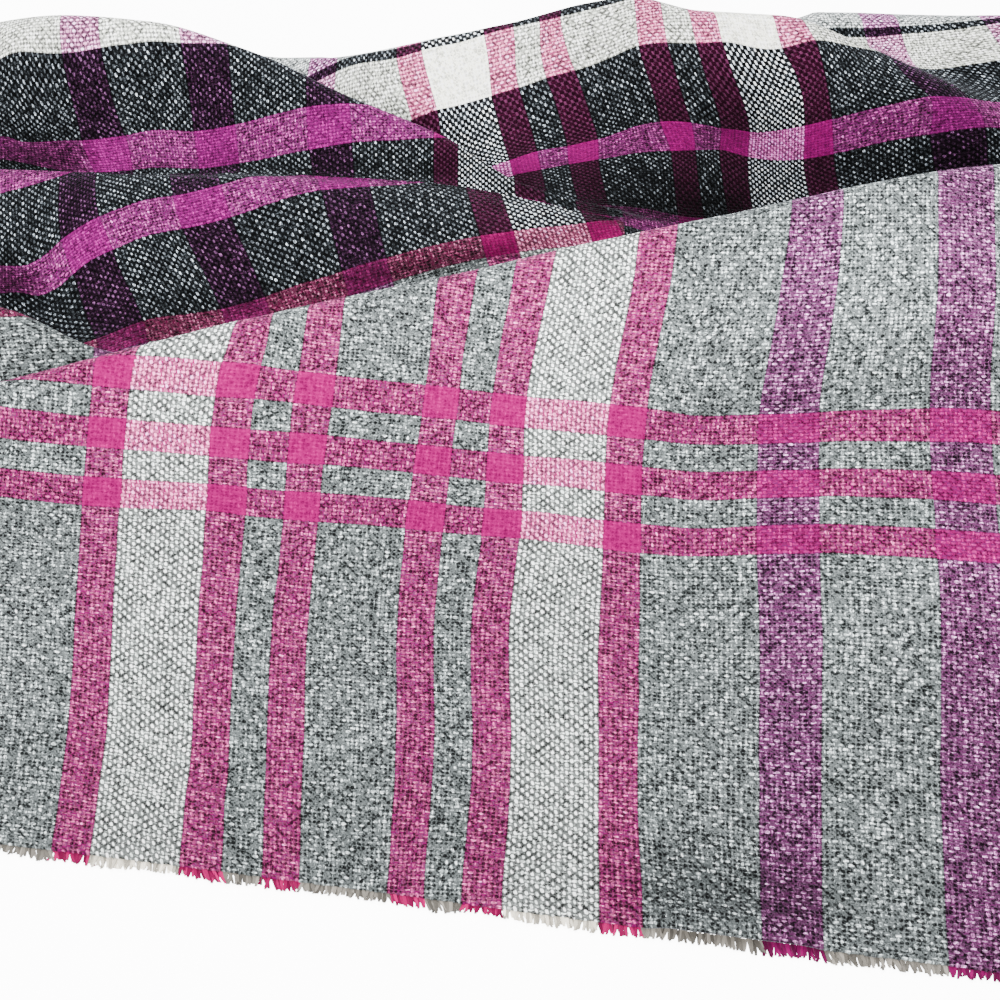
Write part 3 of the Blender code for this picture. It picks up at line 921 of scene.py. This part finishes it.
def ends_material(name, settings):
    """Loose ends of the warp yarns in their own colours, each of its own shade."""
    maker = WoolMaker(name, settings, FRAYED_COLOURS)
    luck = maker.chances(maker.times(maker.u, ENDS_PER_YARN), 1.0)[0]
    shade = maker.power(HEATHER, maker.line(luck, ENDS_SPREAD, ENDS_DIMMED))
    maker.put(maker.inputs["Base Color"], maker.dim(maker.warp, shade))


def setting(kind, name, description, default, least, most, **more):
    return kind(name=name, description=description, default=default, min=least, max=most, **more)


def colour_setting(name, default):
    words = "Colour of the " + name.lower()
    return setting(FloatVectorProperty, name, words, default, 0.0, 1.0, size=3, subtype="COLOR")


class ScarfClothSettings(PropertyGroup):
    """How the cloth is made."""

    wall: setting(
        FloatProperty, "Thickness", "Wall of the cloth", 0.002, 0.0005, 0.004, unit="LENGTH"
    )
    relief: setting(
        FloatProperty, "Relief", "How far a yarn stands up", 0.0006, 0.0, 0.002, unit="LENGTH"
    )
    flap_columns: setting(IntProperty, "Flap columns", "Cells across the flap", 300, 40, 400)
    wave_columns: setting(IntProperty, "Wave columns", "Cells across the waves", 280, 40, 400)
    wave_rows: setting(IntProperty, "Wave rows", "Rows between two guide lines", 11, 2, 16)
    sheen: setting(
        FloatProperty, "Sheen", "Strength of the cloth's sheen", 0.1, 0.0, 1.0, subtype="FACTOR"
    )
    sheen_tint: colour_setting("Sheen tint", (0.85, 0.88, 1.0))
    grey: colour_setting("Grey warp", (0.083, 0.09, 0.091))
    pale: colour_setting("Pale grey weft", (0.104, 0.112, 0.112))
    milk: colour_setting("Light weft", (0.74, 0.76, 0.75))
    white: colour_setting("White stripes", (0.93, 0.95, 0.92))
    cream: colour_setting("Cream band", (0.95, 0.93, 0.82))
    pink: colour_setting("Hot pink stripes", (0.18, 0.0003, 0.068))
    purple: colour_setting("Purple stripes", (0.068, 0.0105, 0.052))
    magenta: colour_setting("Magenta bands", (0.165, 0.0012, 0.1))
    crimson: colour_setting("Deep pink band", (0.085, 0.0006, 0.027))
    charcoal: colour_setting("Charcoal bands", (0.0022, 0.0025, 0.0030))
    lime: colour_setting("Lime line", (0.2, 0.34, 0.07))
    frayed_grey: colour_setting("Grey yarns' ends", (0.12, 0.11, 0.095))
    frayed_white: colour_setting("White yarns' ends", (0.5, 0.46, 0.38))
    frayed_pink: colour_setting("Pink yarns' ends", (0.19, 0.0015, 0.05))
    frayed_purple: colour_setting("Purple yarns' ends", (0.11, 0.0008, 0.045))


class ScarfStageSettings(PropertyGroup):
    """The camera and the light."""

    pitch: FloatProperty(
        name="Pitch", description="How far the camera looks down", default=math.radians(48.0),
        subtype="ANGLE",
    )
    lens: setting(FloatProperty, "Lens", "Focal length on a 36 mm sensor", 72.0, 10.0, 200.0)
    eye: FloatVectorProperty(
        name="Camera place", description="Where the camera stands", subtype="TRANSLATION",
        default=(0.0274, -0.6169, 0.641), size=3,
    )


class SCARF_OT_finishes(Operator):
    """Makes the cloth's finishes"""

    bl_idname = "scarf.finishes"
    bl_label = "Finishes"

    def execute(self, context):
        settings = context.scene.scarf_cloth
        plain_weave_group()
        cloth_material("front_plaid", FRONT_BANDS, 0, FLAP_PAINTED_LIGHT, settings)
        cloth_material("wave_plaid", WAVE_BANDS, -BAND_START, WAVE_PAINTED_LIGHT, settings)
        ends_material("yarn_ends", settings)
        return {"FINISHED"}


class SCARF_OT_flap(Operator):
    """Makes the end of the cloth that lies forward from the high fold"""

    bl_idname = "scarf.flap"
    bl_label = "Front flap"

    def execute(self, context):
        settings = context.scene.scarf_cloth
        x, y, z = flap_surface(settings.flap_columns, *FLAP_ROWS)
        u, v = count_yarns(FLAP_MARKS, x, y, z)
        mesh = cloth_mesh("flap_cloth", x, y, z, lambda column, row: (u, v), FLAP_PAINTED_SHADING)
        piece = add_piece("flap_cloth", mesh, "front_plaid", "grey_plaid", "front_flap")
        add_wall(piece, settings.wall)
        return {"FINISHED"}


class SCARF_OT_waves(Operator):
    """Makes the waves behind the fold in one piece"""

    bl_idname = "scarf.waves"
    bl_label = "Waves"

    def execute(self, context):
        settings = context.scene.scarf_cloth
        x, y, z = wave_surface(settings.wave_columns, settings.wave_rows)
        valleys = ("valley_one", "valley_two")
        one, two = (LINE_NAMES.index(name) * settings.wave_rows for name in valleys)
        row = np.arange(x.shape[1])
        left = x < WAVE_SEAM_X
        areas = {
            "first_wave": left & (row <= one),
            "second_wave": left & (row >= one) & (row <= two),
            "third_wave": ~left | (row >= two),
        }
        counts = {
            name: count_yarns(WAVE_MARKS[name], x, y, z, area) for name, area in areas.items()
        }

        def counts_for_cell(column, row):
            if x[column, 0] >= WAVE_SEAM_X or row >= two:
                return counts["third_wave"]
            return counts["first_wave" if row < one else "second_wave"]

        mesh = cloth_mesh("wave_cloth", x, y, z, counts_for_cell, WAVE_PAINTED_SHADING)
        piece = add_piece(
            "wave_cloth", mesh, "wave_plaid", "dark_plaid",
            "first_wave", "second_wave", "third_wave", "back_stretch",
        )
        add_wall(piece, settings.wall)
        return {"FINISHED"}


class SCARF_OT_layers(Operator):
    """Makes the length that is folded away below the flap and the waves"""

    bl_idname = "scarf.layers"
    bl_label = "Hidden layers"

    def execute(self, context):
        stacks = bmesh.new()
        for left, right, surface, rows, seed in (
            (-HALF_CUT, HALF_CUT, flap_surface(*FLAP_STACK), FLAP_STACK_ROWS, FLAP_STACK_SEED),
            (LEFT_EDGE, RIGHT_EDGE, wave_surface(*WAVE_STACK), WAVE_STACK_ROWS, WAVE_STACK_SEED),
        ):
            across = np.linspace(left, right, len(surface[0]))
            inside = (across > left + LAYER_INSET) & (across < right - LAYER_INSET)
            add_stack(stacks, surface, inside, rows, seed)
        bmesh.ops.recalc_face_normals(stacks, faces=stacks.faces)
        yarns = stacks.loops.layers.uv.new("yarns")
        middle, half = (LEFT_EDGE + RIGHT_EDGE) / 2, (RIGHT_EDGE - LEFT_EDGE) / 2
        for face in stacks.faces:
            for loop in face.loops:
                place = loop.vert.co
                layer = math.floor(place.z / LAYER_STEP)
                u = (place.x - middle) / half * HALF_WIDTH_YARNS
                loop[yarns].uv = u, (place.y + place.z) / YARN_ALONG + LAYER_YARNS * layer
        # The folded layers get an even painted shade
        painted_shading = stacks.verts.layers.float.new("painted_shading")
        for v in stacks.verts:
            v[painted_shading] = LAYER_PAINTED_SHADE
            v.co = Vector((v.co.x + ORIGIN_X, v.co.y + ORIGIN_Y, v.co.z)) * MM
        mesh = finished_mesh("folded_layers", stacks)
        mesh.shade_smooth()
        add_piece("folded_layers", mesh, "front_plaid", "folded_cloth", "hidden_layers")
        return {"FINISHED"}


class SCARF_OT_ends(Operator):
    """Makes the frayed yarn ends along the cut end of the cloth"""

    bl_idname = "scarf.ends"
    bl_label = "Yarn ends"

    def execute(self, context):
        settings = context.scene.scarf_cloth
        x, y, z = flap_surface(settings.flap_columns, *FLAP_ROWS)
        yarn = count_yarns(FLAP_MARKS, x, y, z)[0][:, 0]
        count = int((yarn[-1] - yarn[0]) * ENDS_PER_YARN)
        luck = np.random.default_rng(ENDS_SEED)
        at = yarn[0] + (np.arange(count) + luck.random(count)) / ENDS_PER_YARN
        at = np.clip(at, yarn[0], yarn[-1])
        clump = value_noise(at, 0 * at, CLUMP_YARNS, CLUMP_SEED)
        reach = END_LENGTH * (END_LEAST + END_UNEVEN * clump + END_UNEVEN * luck.random(count))
        sway = CLUMP_SWAY * clump + luck.uniform(-END_SWAY, END_SWAY, count)
        curl = luck.uniform(-END_BEND, END_BEND, count)
        root_x = np.interp(at, yarn, x[:, 0])
        root_y = np.interp(at, yarn, y[:, 0]) + ROOT_DEPTH
        root_z = luck.uniform(*ROOT_HEIGHTS, count)
        tilt = luck.uniform(-END_BEND, END_BEND, count)
        ends = bmesh.new()
        cells = 2 * count - 1
        bmesh.ops.create_grid(ends, x_segments=cells, y_segments=END_STEPS, size=0.5)
        uv = ends.loops.layers.uv.new("yarns")
        spare = []
        for face in ends.faces:
            cell = int((face.calc_center_median().x + 0.5) * cells)
            if cell % 2:
                spare.append(face)
                continue
            for loop in face.loops:
                loop[uv].uv = at[cell // 2], loop.vert.co.y - 0.5
        bmesh.ops.delete(ends, geom=spare, context="FACES")
        for v in ends.verts:
            k, side = divmod(round((v.co.x + 0.5) * cells), 2)
            t = 0.5 - v.co.y
            half_width = (side - 0.5) * 2 * END_RADIUS * (1 - TIP_TAPER * t ** 4)
            across = root_x[k] + half_width + reach[k] * (sway[k] * t + curl[k] * t * t)
            height = max(root_z[k] * (1 - TIP_DROP * t) + tilt[k] * half_width, END_FLOOR)
            v.co = Vector((across + ORIGIN_X, root_y[k] - reach[k] * t + ORIGIN_Y, height)) * MM
        mesh = finished_mesh("frayed_ends", ends)
        piece = add_piece("frayed_ends", mesh, "yarn_ends", "yarn_ends", "yarn_fringe")
        add_wall(piece, END_THICKNESS * MM)
        return {"FINISHED"}


# The floor. Its glow makes it look white to the camera and lights nothing
FLOOR_SIZE = 6.0
FLOOR_DROP = 0.0005
FLOOR_COLOUR = (0.9, 0.9, 0.9, 1)
FLOOR_ROUGHNESS = 0.8
FLOOR_GLOW = 9.0

SENSOR_WIDTH = 36.0
LAMPS = (
    # name, place, target, size, power, colour
    ("key_light", (-0.25, -1.6, 1.2), (0, 0, 0), 1.2, 120.0, (1.0, 0.99, 0.98)),
    ("top_light", (-0.1, 0.3, 1.0), (0, 0.05, 0), 0.9, 35.0, (1.0, 1.0, 1.0)),
)
ROOM_COLOUR = (0.92, 0.96, 1.0, 1)
ROOM_LIGHT = 0.5


def add_item(name, data, place):
    """Links a thing of the stage at its place."""
    item = bpy.data.objects.new(name, data)
    item.location = place
    bpy.context.scene.collection.objects.link(item)
    return item


def add_lamp(name, place, target, size, power, colour):
    """A soft square lamp that looks at a point."""
    data = bpy.data.lights.new(name, "AREA")
    data.size = size
    data.energy = power
    data.color = colour
    direction = Vector(target) - Vector(place)
    add_item(name, data, place).rotation_euler = direction.to_track_quat("-Z", "Y").to_euler()


def floor_material():
    """A pale floor that looks white to the camera."""
    material = bpy.data.materials.new("pale_floor")
    material.use_nodes = True
    maker = NodeMaker(material.node_tree)
    shader = maker.tree.nodes["Principled BSDF"]
    shader.inputs["Base Color"].default_value = FLOOR_COLOUR
    shader.inputs["Roughness"].default_value = FLOOR_ROUGHNESS
    shader.inputs["Emission Color"].default_value = (1, 1, 1, 1)
    glow = maker.times(maker.node("LightPath")["Is Camera Ray"], FLOOR_GLOW)
    maker.put(shader.inputs["Emission Strength"], glow)
    return material


class SCARF_OT_stage(Operator):
    """Makes the floor, the soft light and the camera"""

    bl_idname = "scarf.stage"
    bl_label = "Stage"

    def execute(self, context):
        settings = context.scene.scarf_stage
        shape = bmesh.new()
        bmesh.ops.create_grid(shape, x_segments=1, y_segments=1, size=FLOOR_SIZE)
        mesh = finished_mesh("floor", shape)
        mesh.materials.append(floor_material())
        add_item("floor", mesh, (0, 0, -FLOOR_DROP))
        camera = bpy.data.cameras.new("camera")
        camera.lens = settings.lens
        camera.sensor_width = SENSOR_WIDTH
        eye = add_item("camera", camera, settings.eye)
        eye.rotation_euler = Euler((math.pi / 2 - settings.pitch, 0, 0))
        context.scene.camera = eye
        for lamp in LAMPS:
            add_lamp(*lamp)
        world = context.scene.world or bpy.data.worlds.new("soft_room")
        context.scene.world = world
        world.use_nodes = True
        background = world.node_tree.nodes["Background"]
        background.inputs["Color"].default_value = ROOM_COLOUR
        background.inputs["Strength"].default_value = ROOM_LIGHT
        return {"FINISHED"}


class SCARF_PT_panel(Panel):
    """Lists the scarf's pieces in the sidebar"""

    bl_label = "Tartan scarf"
    bl_space_type = "VIEW_3D"
    bl_region_type = "UI"
    bl_category = "Scarf"

    def draw(self, context):
        for settings in (context.scene.scarf_cloth, context.scene.scarf_stage):
            box = self.layout.box()
            for key in settings.__annotations__:
                box.prop(settings, key)
        for operator in OPERATORS:
            self.layout.operator(operator.bl_idname)


SETTINGS = {"scarf_cloth": ScarfClothSettings, "scarf_stage": ScarfStageSettings}
OPERATORS = (
    SCARF_OT_finishes, SCARF_OT_flap, SCARF_OT_waves, SCARF_OT_layers, SCARF_OT_ends,
    SCARF_OT_stage,
)
CLASSES = (*SETTINGS.values(), *OPERATORS, SCARF_PT_panel)


def register():
    for item in CLASSES:
        bpy.utils.register_class(item)
    for name, item in SETTINGS.items():
        setattr(bpy.types.Scene, name, PointerProperty(type=item))


def unregister():
    for name in SETTINGS:
        delattr(bpy.types.Scene, name)
    for item in reversed(CLASSES):
        bpy.utils.unregister_class(item)


def main():
    register()
    bpy.ops.scarf.finishes()
    bpy.ops.scarf.flap()
    bpy.ops.scarf.waves()
    bpy.ops.scarf.layers()
    bpy.ops.scarf.ends()
    bpy.ops.scarf.stage()


if __name__ == "__main__":
    main()
